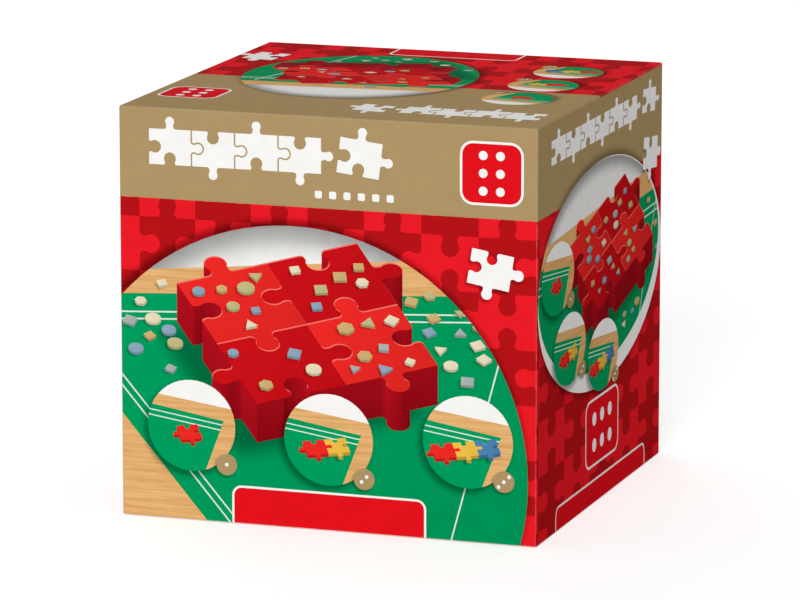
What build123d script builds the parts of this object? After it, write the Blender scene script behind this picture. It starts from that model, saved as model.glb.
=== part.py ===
# Puzzle sorter: a square game box of paper-covered greyboard with a full-depth lift-off lid.
# Inside, square sorting trays of moulded plastic stand in one nested stack.
# Millimetres, +Z up, front towards -Y. The origin is the middle of the footprint, on the table.

import os
from math import radians, sqrt, tan

from build123d import *

# Trays
tray_count = 6
tray_side = 200.0        # across the rim
tray_height = 25.0       # from the foot to the rim
tray_corner = 22.0       # corner radius of the rim, outside
tray_draft = 2.5         # degrees that every upright face leans outwards
rim_width = 2.6          # wall thickness at the rim
rim_edge_out = 0.7       # bevel along the rim's outer edge
rim_edge_in = 0.5        # bevel along the rim's inner edge
floor_thickness = 1.8
floor_bevel = 4.0        # slope between the floor and the wall, inside
nest_depth = 4.0         # how far a foot drops into the tray below
nest_clearance = 0.4     # between a foot and the rim round it, on each side
foot_ring = 8.0          # width of the ring that the tray stands on
foot_recess = 0.8        # how far the floor lies above that ring
foot_edge = 0.8          # bevel that leads a foot into the tray below

# Board and paper
board = 1.5              # greyboard of the walls, the floor and the top
paper = 0.2              # printed cover and bottom sheet
tape = 0.1               # corner stays
stay_width = 20.0        # how far a stay reaches along each wall
crease = 0.6             # bevel along the folded edges of the board
cover_round = 1.1        # radius of the covered upright edges, outside
top_round = 1.0          # radius of the covered top edges, outside
turn_in = 15.0           # paper folded over at a mouth, or under the floor

# Box
headroom = 67.8          # between the top tray's rim and the lid's board
rim_proud = 6.0          # how far the top tray's rim stands above the base, for the fingers
tray_play = 0.9          # between a tray's rim and the base walls, on each side
lid_play = 0.4           # between the base's cover and the lid's turned-in paper, on each side
lid_lift = 0.3           # between the lid's lower edge and the table

# Half widths, from the trays outwards
base_inside = tray_side / 2 + tray_play
base_board_out = base_inside + board
base_cover_in = base_board_out + tape
base_out = base_cover_in + paper
lid_inside = base_out + lid_play + paper
lid_board_out = lid_inside + board
lid_cover_in = lid_board_out + tape
lid_out = lid_cover_in + paper

# Levels, from the table upwards
base_floor_low = 2 * paper
base_floor_top = base_floor_low + board
tray_pitch = tray_height - nest_depth
stack_top = base_floor_top + (tray_count - 1) * tray_pitch + tray_height
base_height = stack_top - rim_proud
base_wall_top = base_height - paper
lid_wall_low = lid_lift + paper
lid_wall_top = stack_top + headroom
lid_board_top = lid_wall_top + board
box_height = lid_board_top + tape + paper


def slab(low, high):
    size = [b - a for a, b in zip(low, high)]
    centre = [(a + b) / 2 for a, b in zip(low, high)]
    return Pos(*centre) * Box(*size)


def square(half, bevel=0.0):
    outline = Rectangle(2 * half, 2 * half)
    if bevel > 0:
        outline = chamfer(outline.vertices(), bevel)
    return outline


def rounded_square(half, radius):
    return RectangleRounded(2 * half, 2 * half, radius)


def bevel_over(thickness):
    # the crease's bevel, seen from the outside of a sheet that lies on it
    return crease + (2 - sqrt(2)) * thickness


def prism(outline, low, high):
    return Pos(0, 0, low) * extrude(outline, amount=high - low)


# One tray: a wall section run round a rounded square, and the floor that it closes on

def nearest_corner(outline, place):
    return outline.vertices().sort_by_distance((*place, 0))[0]


def tray_section():
    lean = tan(radians(tray_draft))
    rim_out = tray_side / 2
    rim_in = rim_out - rim_width
    floor_top = foot_recess + floor_thickness
    wall_in_low = rim_in - (tray_height - floor_top) * lean
    shoulder_out = rim_out - tray_pitch * lean
    foot_high = rim_in - nest_clearance
    foot_low = foot_high - nest_depth * lean
    ring_in = foot_low - foot_ring
    floor_edge = ring_in - 2 * foot_recess
    corners = [
        (floor_edge, floor_top),
        (wall_in_low, floor_top),
        (rim_in, tray_height),
        (rim_out, tray_height),
        (shoulder_out, nest_depth),
        (foot_high, nest_depth),
        (foot_low, 0),
        (ring_in, 0),
        (ring_in - foot_recess, foot_recess),
        (floor_edge, foot_recess),
    ]
    section = Polygon(*corners, align=None)
    for index, bevel in {1: floor_bevel, 2: rim_edge_in, 3: rim_edge_out, 6: foot_edge}.items():
        section = chamfer(nearest_corner(section, corners[index]), bevel)
    return section, floor_edge


def tray():
    section, floor_edge = tray_section()
    upright = Plane.XZ * section
    straight = tray_side / 2 - tray_corner
    side = extrude(upright, amount=straight, both=True)
    corner_axis = Axis((straight, straight, 0), (0, 0, 1))
    corner = revolve(Pos(0, straight, 0) * upright, corner_axis, 90)
    floor_top = foot_recess + floor_thickness
    floor_corner = tray_corner - (tray_side / 2 - floor_edge)
    body = prism(rounded_square(floor_edge, floor_corner), foot_recess, floor_top)
    for turn in range(4):
        body += Rot(0, 0, 90 * turn) * (side + corner)
    return body


# Board walls: front and back run the full width, left and right fit between them

def wall_boards(inside, low, high):
    outside = inside + board
    front = slab((-outside, -outside, low), (outside, -inside, high))
    front = chamfer(front.edges().filter_by(Axis.Z).group_by(Axis.Y)[0], crease)
    right = slab((inside, -inside, low), (outside, inside, high))
    return {
        "front_wall": front,
        "back_wall": Rot(0, 0, 180) * front,
        "left_wall": Rot(0, 0, 180) * right,
        "right_wall": right,
    }


def corner_stays(half, low, high):
    ring = square(half + tape, bevel_over(tape)) - square(half, crease)
    reach = half + tape - stay_width / 2
    stays = []
    for x in (-reach, reach):
        for y in (-reach, reach):
            stays.append(prism(ring & (Pos(x, y) * Rectangle(stay_width, stay_width)), low, high))
    return Compound(children=[solid for stay in stays for solid in stay.solids()])


def creased_block(half, bevel, low, high):
    block = prism(square(half, bevel), low, high)
    return chamfer(block.edges().group_by(Axis.Z)[-1], bevel)


# Base

def base_parts():
    parts = {"base_" + name: shape for name, shape in
             wall_boards(base_inside, base_floor_top, base_wall_top).items()}
    parts["base_floor_board"] = prism(square(base_board_out, crease), base_floor_low, base_floor_top)
    parts["base_corner_stays"] = corner_stays(base_board_out, base_floor_low, base_wall_top)
    parts["base_bottom_sheet"] = prism(square(base_out, bevel_over(tape + paper)), 0, paper)

    inner = square(base_cover_in, bevel_over(tape))
    cover = prism(rounded_square(base_out, cover_round) - inner, paper, base_height)
    cover += prism(inner - square(base_cover_in - turn_in), paper, base_floor_low)
    cover += prism(inner - square(base_inside - paper), base_wall_top, base_height)
    mouth = square(base_inside) - square(base_inside - paper)
    cover += prism(mouth, base_height - turn_in, base_wall_top)
    parts["base_cover"] = cover
    return parts


# Lid

def lid_parts():
    parts = {"lid_" + name: shape for name, shape in
             wall_boards(lid_inside, lid_wall_low, lid_wall_top).items()}
    parts["lid_top_board"] = creased_block(lid_board_out, crease, lid_wall_top, lid_board_top)
    parts["lid_corner_stays"] = corner_stays(lid_board_out, lid_wall_low, lid_wall_top)

    cover = prism(rounded_square(lid_out, cover_round), lid_lift, box_height)
    cover = fillet(cover.edges().group_by(Axis.Z)[-1], top_round)
    cover -= creased_block(lid_cover_in, bevel_over(tape), lid_lift, box_height - paper)
    hem = square(lid_cover_in, bevel_over(tape)) - square(lid_inside - paper)
    cover += prism(hem, lid_lift, lid_wall_low)
    mouth = square(lid_inside) - square(lid_inside - paper)
    cover += prism(mouth, lid_wall_low, lid_lift + turn_in)
    parts["lid_cover"] = cover
    return parts


def main():
    parts = base_parts()
    first_tray = tray()
    for index in range(tray_count):
        seat = base_floor_top + index * tray_pitch
        parts["tray_" + str(index + 1)] = Pos(0, 0, seat) * first_tray
    parts.update(lid_parts())
    os.makedirs("parts", exist_ok=True)
    for name, shape in parts.items():
        export_step(shape, "parts/" + name + ".step")


main()
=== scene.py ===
import random
from math import acos, atan2, ceil, copysign, cos, degrees, floor, hypot, inf, pi, radians, sin, tan

import bmesh
import bpy
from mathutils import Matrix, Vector
from mathutils.geometry import delaunay_2d_cdt
from mathutils.kdtree import KDTree


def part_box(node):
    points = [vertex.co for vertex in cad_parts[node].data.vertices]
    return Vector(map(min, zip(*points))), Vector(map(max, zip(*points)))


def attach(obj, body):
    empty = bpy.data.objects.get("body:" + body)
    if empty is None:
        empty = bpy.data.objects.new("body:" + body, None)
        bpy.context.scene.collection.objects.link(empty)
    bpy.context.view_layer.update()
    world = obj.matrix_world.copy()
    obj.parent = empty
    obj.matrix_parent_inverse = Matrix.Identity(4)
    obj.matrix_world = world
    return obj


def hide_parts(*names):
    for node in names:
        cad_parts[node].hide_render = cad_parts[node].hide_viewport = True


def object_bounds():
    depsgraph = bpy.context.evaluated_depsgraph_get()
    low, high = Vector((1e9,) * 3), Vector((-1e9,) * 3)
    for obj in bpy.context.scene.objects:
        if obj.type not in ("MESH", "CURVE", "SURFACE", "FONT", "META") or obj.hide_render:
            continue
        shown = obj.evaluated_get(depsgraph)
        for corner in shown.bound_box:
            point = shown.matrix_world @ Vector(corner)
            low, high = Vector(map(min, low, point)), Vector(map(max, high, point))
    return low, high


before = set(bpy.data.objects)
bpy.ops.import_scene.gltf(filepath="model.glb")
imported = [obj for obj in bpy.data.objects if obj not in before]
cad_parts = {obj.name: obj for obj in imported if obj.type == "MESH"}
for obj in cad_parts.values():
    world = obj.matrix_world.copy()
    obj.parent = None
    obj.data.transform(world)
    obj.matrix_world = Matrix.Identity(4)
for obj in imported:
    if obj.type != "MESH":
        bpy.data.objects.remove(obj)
cadLow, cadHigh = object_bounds()
mm = 0.001
print("frame loaded:", len(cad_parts), "nodes")


# Materials

def linear(hexColour):
    channels = [int(hexColour[k:k + 2], 16) / 255 for k in (1, 3, 5)]
    return [c / 12.92 if c <= 0.04045 else ((c + 0.055) / 1.055) ** 2.4 for c in channels] + [1.0]


def feed(owner, node, inputs):
    # each input gets a plain value, a socket, or the first output that another node has in use
    for name, value in inputs.items():
        if isinstance(value, bpy.types.Node):
            value = next(output for output in value.outputs if output.enabled)
        if isinstance(value, bpy.types.NodeSocket):
            owner.node_tree.links.new(value, node.inputs[name])
        else:
            node.inputs[name].default_value = value


def addNode(owner, kind, inputs=None, **settings):
    node = owner.node_tree.nodes.new(kind)
    for name, value in settings.items():
        setattr(node, name, value)
    feed(owner, node, inputs or {})
    return node


def newMaterial(name, roughness, ior=1.5, specular=0.5):
    material = bpy.data.materials.new(name)
    material.use_nodes = True
    shader = material.node_tree.nodes["Principled BSDF"]
    feed(material, shader, {"Roughness": roughness, "IOR": ior, "Specular IOR Level": specular})
    return material, shader


noiseSpan = {"From Min": 0.3, "From Max": 0.7}  # nearly all of a noise texture lies between these

folds = {
    "bareAndHighlit": "#F1E9DC",           # the paper's own colour, where its surface is rubbed off; it also stands as a painted highlight along the folds
    "width": 0.7,                # mm that the rubbing reaches in from an edge
    "full": 0.27,                # mm from the edge where it is at its strongest
    "hem": (1.1, 0.4),           # mm above the table, where it starts and where it is at its strongest
    "patch": 5.0,                # mm, size of the patches that are rubbed more or less
    "patchSpan": (0.42, 0.66),   # the part of the noise over which the rubbing grows
    "least": 0.2,                # what is left of it in the least rubbed patches
}


def foldWearAndHighlight(material, place, high, most):
    # how far a square box's paper is rubbed pale: along its upright edges, its top edges and its hem, in
    # patches; the pale folds are also a painted highlight along the edges
    split = addNode(material, "ShaderNodeSeparateXYZ", {"Vector": place})
    level = split.outputs["Z"]
    across, along = (addNode(material, "ShaderNodeMath", {0: split.outputs[axis]}, operation="ABSOLUTE")
                     for axis in ("X", "Y"))
    lesser, greater = (addNode(material, "ShaderNodeMath", {0: across, 1: along}, operation=which)
                       for which in ("MINIMUM", "MAXIMUM"))
    width, full = folds["width"] * mm, folds["full"] * mm
    upright, outside, raised = (
        addNode(material, "ShaderNodeMapRange",
                {"Value": value, "From Min": edge - width, "From Max": edge - full})
        for value, edge in ((lesser, high.x), (greater, high.x), (level, high.z)))
    top = addNode(material, "ShaderNodeMath", {0: outside, 1: raised}, operation="MULTIPLY")
    hem = addNode(material, "ShaderNodeMapRange",
                  {"Value": level, "From Min": folds["hem"][0] * mm, "From Max": folds["hem"][1] * mm})
    noise = addNode(material, "ShaderNodeTexNoise",
                    {"Vector": place, "Scale": 1 / (folds["patch"] * mm), "Detail": 8.0, "Roughness": 0.7})
    patches = addNode(material, "ShaderNodeMapRange",
                      {"Value": noise, "From Min": folds["patchSpan"][0], "From Max": folds["patchSpan"][1],
                       "To Min": folds["least"] * most, "To Max": most})
    edges = addNode(material, "ShaderNodeMath", {0: upright, 1: top}, operation="MAXIMUM")
    edges = addNode(material, "ShaderNodeMath", {0: edges, 1: hem}, operation="MAXIMUM")
    return addNode(material, "ShaderNodeMath", {0: edges, 1: patches}, operation="MULTIPLY")


printedPaper = {
    "roughness": 0.6,
    "uneven": (-0.04, 0.05),  # what clouds of it add to the roughness
    "specular": 0.001,        # the matt film hardly shines, even along the face
    "mottle": 9.0,            # mm, size of the faint cloudiness in a flat area of ink
    "mottleDepth": 0.05,
    "orangePeel": 1.8,        # mm, ripple of the film; a real one is nearer 0.5, drawn coarser to show
    "peelRise": 0.2,          # mm
    "peelStrength": 0.06,
    "boardWave": 16.0,        # mm, unevenness of the greyboard under the sheet
    "waveRise": 0.6,
    "waveStrength": 0.12,
    "wearAndHighlight": 0.2,              # how pale the rubbed folds get, which also paints a highlight along them
    "planMap": "sheetPlan",
    "toneMap": "printTone",
    "bakeMap": "OFBake",      # the sheet unfolded, for whoever bakes its colours into one picture
}


def printedInk(name, colour, grain=None):
    # offset ink on art paper under matt film: flat even colour, a soft broad highlight, folds rubbed pale,
    # which also paints a highlight along them
    look = printedPaper
    material, shader = newMaterial(name, look["roughness"], specular=look["specular"])
    place = addNode(material, "ShaderNodeTexCoord").outputs["Object"]
    ink = linear(colour)
    if grain:  # printed wood: long streaks along one direction
        plan = addNode(material, "ShaderNodeUVMap", uv_map=look["planMap"])
        turned = addNode(material, "ShaderNodeMapping",
                         {"Vector": plan, "Rotation": (0, 0, radians(grain["turn"])),
                          "Scale": (1 / (grain["length"] * mm), 1 / (grain["width"] * mm), 1)})
        streaks = addNode(material, "ShaderNodeTexNoise",
                          {"Vector": turned, "Scale": 1.0, "Detail": 4.0, "Distortion": 0.6})
        share = addNode(material, "ShaderNodeMapRange",
                        {"Value": streaks, "From Min": grain["span"][0], "From Max": grain["span"][1]})
        ink = addNode(material, "ShaderNodeMix", {"Factor": share, "A": ink, "B": linear(grain["streak"])},
                      data_type="RGBA")

    cloud = addNode(material, "ShaderNodeTexNoise",
                    {"Vector": place, "Scale": 1 / (look["mottle"] * mm), "Detail": 5.0})
    level = addNode(material, "ShaderNodeMapRange",
                    {"Value": cloud, **noiseSpan, "To Min": 1 - look["mottleDepth"], "To Max": 1.0})
    tone = addNode(material, "ShaderNodeAttribute", attribute_name=look["toneMap"]).outputs["Fac"]
    shown = addNode(material, "ShaderNodeMath", {0: level, 1: tone}, operation="MULTIPLY")
    inked = addNode(material, "ShaderNodeHueSaturation", {"Value": shown, "Color": ink})
    # folds rubbed pale, and with that a painted highlight along the box's edges
    wornAndHighlit = foldWearAndHighlight(material, place, cadHigh, look["wearAndHighlight"])
    surface = addNode(material, "ShaderNodeMix", {"Factor": wornAndHighlit, "A": inked, "B": linear(folds["bareAndHighlit"])},
                      data_type="RGBA")

    wave = addNode(material, "ShaderNodeTexNoise",
                   {"Vector": place, "Scale": 1 / (look["boardWave"] * mm), "Detail": 1.0})
    board = addNode(material, "ShaderNodeBump",
                    {"Height": wave, "Strength": look["waveStrength"], "Distance": look["waveRise"] * mm})
    ripple = addNode(material, "ShaderNodeTexNoise",
                     {"Vector": place, "Scale": 1 / (look["orangePeel"] * mm), "Detail": 2.0})
    film = addNode(material, "ShaderNodeBump",
                   {"Height": ripple, "Strength": look["peelStrength"], "Distance": look["peelRise"] * mm,
                    "Normal": board})
    gloss = addNode(material, "ShaderNodeMapRange",
                    {"Value": cloud, **noiseSpan, "To Min": look["roughness"] + look["uneven"][0],
                     "To Max": look["roughness"] + look["uneven"][1]})
    feed(material, shader, {"Base Color": surface, "Roughness": gloss, "Normal": film})
    return material


rawPapers = {  # fibre: their size in mm, drawn large enough to show; depth: how strong their shade is
    "millboardGrey":
        {"colour": "#9C978C", "shade": "#77705F", "fibre": 1.1, "depth": 0.6, "roughness": 0.9},
    "kraftStayPaper":
        {"colour": "#C9B08A", "shade": "#A98B5E", "fibre": 0.8, "depth": 0.45, "roughness": 0.8},
    "uncoatedTanWrap":
        {"colour": "#B39A6D", "shade": "#9A7E50", "fibre": 1.4, "depth": 0.5, "roughness": 0.75},
    "artPaperBack":
        {"colour": "#E9E4DA", "shade": "#CFC7B6", "fibre": 0.6, "depth": 0.35, "roughness": 0.85},
}
fibrous = {
    "specular": 0.25,
    "span": (0.35, 0.7),  # the part of the noise over which the fibres' shade comes up
    "fleckStep": 1.6,     # from one fleck to the next, in fibres
    "fleckSize": 0.22,    # a share of that step
    "fleckDepth": 0.6,    # a share of the fibres' depth
    "relief": 0.2,        # mm
    "strength": 0.25,     # of the relief
    "wearAndHighlight": 0.4,          # how pale the rubbed folds get, which also paints a highlight along them
}


def rawPaper(name, high=None):
    # uncoated paper or board: dull, with short fibres and flecks of another shade
    look = rawPapers[name]
    depth = look["depth"]
    material, shader = newMaterial(name, look["roughness"], specular=fibrous["specular"])
    place = addNode(material, "ShaderNodeTexCoord").outputs["Object"]
    fibres = addNode(material, "ShaderNodeTexNoise",
                     {"Vector": place, "Scale": 1 / (look["fibre"] * mm), "Detail": 8.0, "Roughness": 0.75,
                      "Distortion": 1.5})
    flecks = addNode(material, "ShaderNodeTexVoronoi",
                     {"Vector": place, "Scale": 1 / (look["fibre"] * fibrous["fleckStep"] * mm)})
    near = addNode(material, "ShaderNodeMapRange",
                   {"Value": flecks, "From Min": 0.0, "From Max": fibrous["fleckSize"], "To Min": 1.0,
                    "To Max": 0.0})
    shaded = addNode(material, "ShaderNodeMapRange",
                     {"Value": fibres, "From Min": fibrous["span"][0], "From Max": fibrous["span"][1],
                      "To Max": depth})
    share = addNode(material, "ShaderNodeMath", {0: near, 1: depth * fibrous["fleckDepth"], 2: shaded},
                    operation="MULTIPLY_ADD", use_clamp=True)
    surface = addNode(material, "ShaderNodeMix",
                      {"Factor": share, "A": linear(look["colour"]), "B": linear(look["shade"])},
                      data_type="RGBA")
    if high:  # the highest corner of the box that it covers, whose folds are rubbed pale, which also paints a highlight along them
        # folds rubbed pale, and with that a painted highlight along the box's edges
        wornAndHighlit = foldWearAndHighlight(material, place, high, fibrous["wearAndHighlight"])
        surface = addNode(material, "ShaderNodeMix",
                          {"Factor": wornAndHighlit, "A": surface, "B": linear(folds["bareAndHighlit"])}, data_type="RGBA")
    relief = addNode(material, "ShaderNodeBump",
                     {"Height": fibres, "Strength": fibrous["strength"],
                      "Distance": fibrous["relief"] * mm})
    feed(material, shader, {"Base Color": surface, "Normal": relief})
    return material


styrene = {
    "colour": "#D2141D",
    "deep": "#BD0F18",
    "cloud": 35.0,             # mm, how far apart the plastic is a shade deeper
    "spark": 0.7,              # mm, grain of the skin, drawn coarser than the real one so that it shows
    "relief": 0.2,             # mm
    "strength": 0.18,          # of the relief
    "roughness": 0.34,
    "uneven": (-0.04, 0.06),   # what clouds of it add to the roughness
    "ior": 1.59,
    "specular": 0.24,
}


def mouldedStyrene(name):
    # injection-moulded high-impact polystyrene: satin skin with a fine spark-eroded grain, faintly clouded
    look = styrene
    material, shader = newMaterial(name, look["roughness"], look["ior"], look["specular"])
    place = addNode(material, "ShaderNodeTexCoord").outputs["Object"]
    cloud = addNode(material, "ShaderNodeTexNoise",
                    {"Vector": place, "Scale": 1 / (look["cloud"] * mm), "Detail": 3.0})
    surface = addNode(material, "ShaderNodeMix",
                      {"Factor": cloud, "A": linear(look["colour"]), "B": linear(look["deep"])},
                      data_type="RGBA")
    spark = addNode(material, "ShaderNodeTexNoise",
                    {"Vector": place, "Scale": 1 / (look["spark"] * mm), "Detail": 3.0})
    relief = addNode(material, "ShaderNodeBump",
                     {"Height": spark, "Strength": look["strength"], "Distance": look["relief"] * mm})
    gloss = addNode(material, "ShaderNodeMapRange",
                    {"Value": cloud, **noiseSpan, "To Min": look["roughness"] + look["uneven"][0],
                     "To Max": look["roughness"] + look["uneven"][1]})
    feed(material, shader, {"Base Color": surface, "Roughness": gloss, "Normal": relief})
    return material


# Flat outlines in millimetres

sag = 0.06      # how far the middle of a short straight may lie from the curve that it stands for


def stepsFor(radius, degreesRound=360.0):
    return max(3, ceil(degreesRound / 360 * pi / acos(1 - min(sag / radius, 0.4))))


def arcPoints(centre, radius, start, end, steps=0):
    steps = steps or stepsFor(radius, abs(end - start))
    turns = [radians(start + (end - start) * k / steps) for k in range(steps + 1)]
    return [(centre[0] + radius * cos(t), centre[1] + radius * sin(t)) for t in turns]


def oval(centre, radii, steps=0):
    steps = steps or stepsFor(max(radii))
    turns = [2 * pi * k / steps for k in range(steps)]
    return [(centre[0] + radii[0] * cos(t), centre[1] + radii[1] * sin(t)) for t in turns]


def disc(centre, radius, steps=0):
    return oval(centre, (radius, radius), steps)


def box(low, high):
    return [low, (high[0], low[1]), high, (low[0], high[1])]


def roundedBox(centre, size, radius, steps=0):
    # counter-clockwise, from the lower right corner
    x, y = size[0] / 2 - radius, size[1] / 2 - radius
    corners = [(x, -y, -90), (x, y, 0), (-x, y, 90), (-x, -y, 180)]
    return [p for dx, dy, start in corners
            for p in arcPoints((centre[0] + dx, centre[1] + dy), radius, start, start + 90, steps)]


def roundedPath(corners, steps=4):
    # straight runs through corners (x, y, radius), each corner rounded by its radius
    path = []
    for k, (x, y, radius) in enumerate(corners):
        if radius == 0:
            path.append((x, y))
            continue
        here = Vector((x, y))
        back = (Vector(corners[k - 1][:2]) - here).normalized()
        ahead = (Vector(corners[k + 1][:2]) - here).normalized()
        half = back.angle(ahead) / 2
        centre = here + (back + ahead).normalized() * (radius / sin(half))
        first, last = (here + way * (radius / tan(half)) - centre for way in (back, ahead))
        start = degrees(atan2(first.y, first.x))
        turn = (degrees(atan2(last.y, last.x)) - start + 180) % 360 - 180
        path += arcPoints(centre, radius, start, start + turn, steps)
    return path


def moved(points, place, turn=0.0, size=1.0):
    c, s = size * cos(radians(turn)), size * sin(radians(turn))
    return [(place[0] + x * c - y * s, place[1] + x * s + y * c) for x, y in points]


def stretched(points, stretch):
    return [(x * stretch[0], y * stretch[1]) for x, y in points]


def stroke(points, width):
    # a line drawn along the points, as a closed outline
    right, left = [], []
    for k, (x, y) in enumerate(points):
        before, after = points[max(k - 1, 0)], points[min(k + 1, len(points) - 1)]
        dx, dy = after[0] - before[0], after[1] - before[1]
        share = width / 2 / hypot(dx, dy)
        right.append((x + dy * share, y - dx * share))
        left.append((x - dy * share, y + dx * share))
    return right + left[::-1]


def area(points):
    # positive for a counter-clockwise outline
    return sum(a[0] * b[1] - b[0] * a[1] for a, b in zip(points, points[1:] + points[:1])) / 2


def grown(points, distance):
    # the outline moved outwards by a distance, or inwards by a negative one; at most twice that at a corner
    bigger = []
    for before, here, after in zip(points[-1:] + points[:-1], points, points[1:] + points[:1]):
        first, last = (Vector((b[1] - a[1], a[0] - b[0])).normalized()
                       for a, b in ((before, here), (here, after)))
        way = (first + last).normalized()
        bigger.append((here[0] + way.x * distance / max(way.dot(first), 0.5),
                       here[1] + way.y * distance / max(way.dot(first), 0.5)))
    return bigger


def insideBy(point, outline):
    # how far a point lies inside an outline; negative outside
    x, y = point
    nearest, inside = inf, False
    for (ax, ay), (bx, by) in zip(outline, outline[1:] + outline[:1]):
        runX, runY = bx - ax, by - ay
        share = max(0.0, min(1.0, ((x - ax) * runX + (y - ay) * runY) / (runX * runX + runY * runY)))
        nearest = min(nearest, hypot(x - ax - runX * share, y - ay - runY * share))
        if (ay > y) != (by > y) and x < ax + (y - ay) * runX / runY:
            inside = not inside
    return nearest if inside else -nearest


jigsaw = {
    "bulb": 0.44,     # radius of a tab's round end, as a share of how far the tab stands out
    "neck": 0.36,     # half its width where it leaves the side
    "root": 0.15,     # radius of the hollow beside the neck
}


def jigsawSide(length, reach):
    # from (0, 0) to (length, 0), with a tab on the left, or on the right for a negative reach
    if reach == 0:
        return [(0, 0), (length, 0)]
    size, middle = abs(reach), length / 2
    bulb, neck, root = (jigsaw[k] * size for k in ("bulb", "neck", "root"))
    spread = degrees(acos(-neck / bulb))
    points = [(0, 0)]
    points += arcPoints((middle - neck - root, root), root, -90, 0, 2)
    points += arcPoints((middle, size - bulb), bulb, 360 - spread, spread - 180)
    points += arcPoints((middle + neck + root, root), root, 180, 270, 2)
    points.append((length, 0))
    return [(x, copysign(y, reach)) for x, y in points]


def jigsawPiece(size, tabs, reach):
    # tabs at the bottom, right, top and left: 1 stands out, -1 goes in and 0 is a straight side
    x, y = size[0] / 2, size[1] / 2
    corners = [(-x, -y), (x, -y), (x, y), (-x, y)]
    points = []
    for k, tab in enumerate(tabs):
        points += moved(jigsawSide(size[k % 2], -tab * reach)[:-1], corners[k], 90 * k)
    return points


# The print. Art is a list of shapes in the order of painting, in millimetres on a flat panel

inkColours = {
    "latticeRed": "#F01D28",
    "latticeDeep": "#B81419",
    "bandTan": "#B29769",
    "paperWhite": "#FDFCF9",
    "plateRed": "#E8141F",
    "wallWhite": "#F7F6F3",
    "matGreen": "#00A060",
    "matLine": "#E8F1EA",
    "wood": "#EDBD7E",
    "blockRed": "#EE2A26",
    "blockDeep": "#CC1119",
    "blockSide": "#A30D1A",
    "blockShine": "#F7776A",
    "counterCream": "#EADFBF",
    "counterSand": "#D0B276",
    "counterGrey": "#A9B5B2",
    "counterOlive": "#C3BB85",
    "counterBlue": "#8DA9BC",
    "pieceYellow": "#F0C24A",
    "pieceBlue": "#4F86B8",
}
woodGrain = {
    "streak": "#DCA261",
    "span": (0.38, 0.68),   # the part of the noise over which the streaks come up
    "turn": -9,             # degrees
    "length": 45,           # mm
    "width": 1.5,
}
sheet = {
    "tabReach": 10.4,       # how far the tabs of the jigsaw ground stand out
    "hidden": 1.0,          # how far under a picture all of a ground's piece lies before it is left out
    "bleed": 15.0,          # how far the print runs on past a panel
    "tableDepth": 400.0,    # and the table, under the window's lower edge
    "tableView": 0.62,      # how much shorter the printed table looks from front to back
    "matLight": ((-80, 120, 1.0), (90, 0, 0.86)),   # the mat's tones at two spots
    "matLine": 0.75,
    "wallDark": 0.62,       # how dark the wall gets at the window's rim
}


def paint(art, ink, outline, clips=(), tone=1.0, shadow=None):
    # the tone is one number, or runs straight between two spots (x, y, tone)
    outline = outline if area(outline) > 0 else outline[::-1]
    art.append(dict(ink=ink, outline=outline, clips=clips, tone=tone, shadow=shadow))
    return len(art)  # the shape's number, for clipping others to it; the bare ground is number 0


def paintShadow(art, outline, light, dark, depth, clips=(), steps=3):
    # an airbrushed shadow, from nothing at one depth inside the outline to its full strength at another; the
    # outlines between the two have no ink and only cut the panel, so that the shade can change along them
    levels = [light + (dark - light) * k / steps for k in range(steps + 1)]
    outline = outline if area(outline) > 0 else outline[::-1]
    if light < dark:
        paint(art, None, grown(outline, -light), clips, shadow=(outline, light, dark, depth))
        levels = levels[1:]
    else:
        paint(art, None, outline, clips, shadow=(outline, light, dark, depth))
    for level in levels:
        if level:
            paint(art, None, grown(outline, -level))


def paintLattice(art, plan, low, high, cover):
    # every second piece of a jigsaw in the deeper red, over the brighter one, where nothing covers it
    cell, middle, stretch = plan["cell"], plan["cellMiddle"], plan["stretch"]
    columns, rows = (range(floor((low[k] / stretch[k] - middle[k]) / cell[k]) - 1,
                           ceil((high[k] / stretch[k] - middle[k]) / cell[k]) + 2) for k in (0, 1))
    for column in columns:
        for row in rows:
            if (column + row) % 2 == 0:
                piece = moved(jigsawPiece(cell, (1, -1, 1, -1), sheet["tabReach"]),
                              (middle[0] + column * cell[0], middle[1] + row * cell[1]))
                piece = stretched(piece, stretch)
                if min(insideBy(p, cover) for p in piece) < sheet["hidden"]:
                    paint(art, "latticeDeep", piece)


def paintTable(art, outline, plan):
    # a table with a green mat on it and a white wall behind, seen through a round window
    window = paint(art, "wallWhite", outline)
    (ax, ay), (bx, by) = plan["horizon"]
    paintShadow(art, outline, plan["wallShade"], 0, sheet["wallDark"], (window,))
    below = sheet["tableDepth"]
    paint(art, "wood", [(ax, ay - below), (bx, by - below), (bx, by), (ax, ay)], (window,))
    cloth = paint(art, "matGreen", plan["mat"], (window,), tone=sheet["matLight"])
    for line in plan["lines"]:
        paint(art, "matLine", stroke(line, sheet["matLine"]), (window, cloth))
    return window


def laid(outline, place, turn, size=1.0):
    # a flat shape lying on the printed table
    return moved([(x, y * sheet["tableView"]) for x, y in moved(outline, (0, 0), turn, size)], place)


block = {
    "cell": 50.0,
    "reach": 13.5,
    "thick": 19.0,
    "shadow": (-8.0, -25.0),     # where its middle lies, from the block's
    "shadowSide": 105.0,
    "shadowCorner": 8.0,
    "shade": (-6.0, 7.0, 0.55),  # mm inside the outline where it starts and where it is full, and how dark
    "shine": (0.35, -0.55),      # how far a face lies from its pale rim
    "light": (1.08, 0.84),       # tones at a face's upper left and lower right
    "slant": 0.35,               # how much darker an edge gets as it turns to the right
    "foot": 0.78,                # tone of an edge at its foot
    "under": 0.6,                # mm below an edge, where another piece would hide it
}


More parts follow.
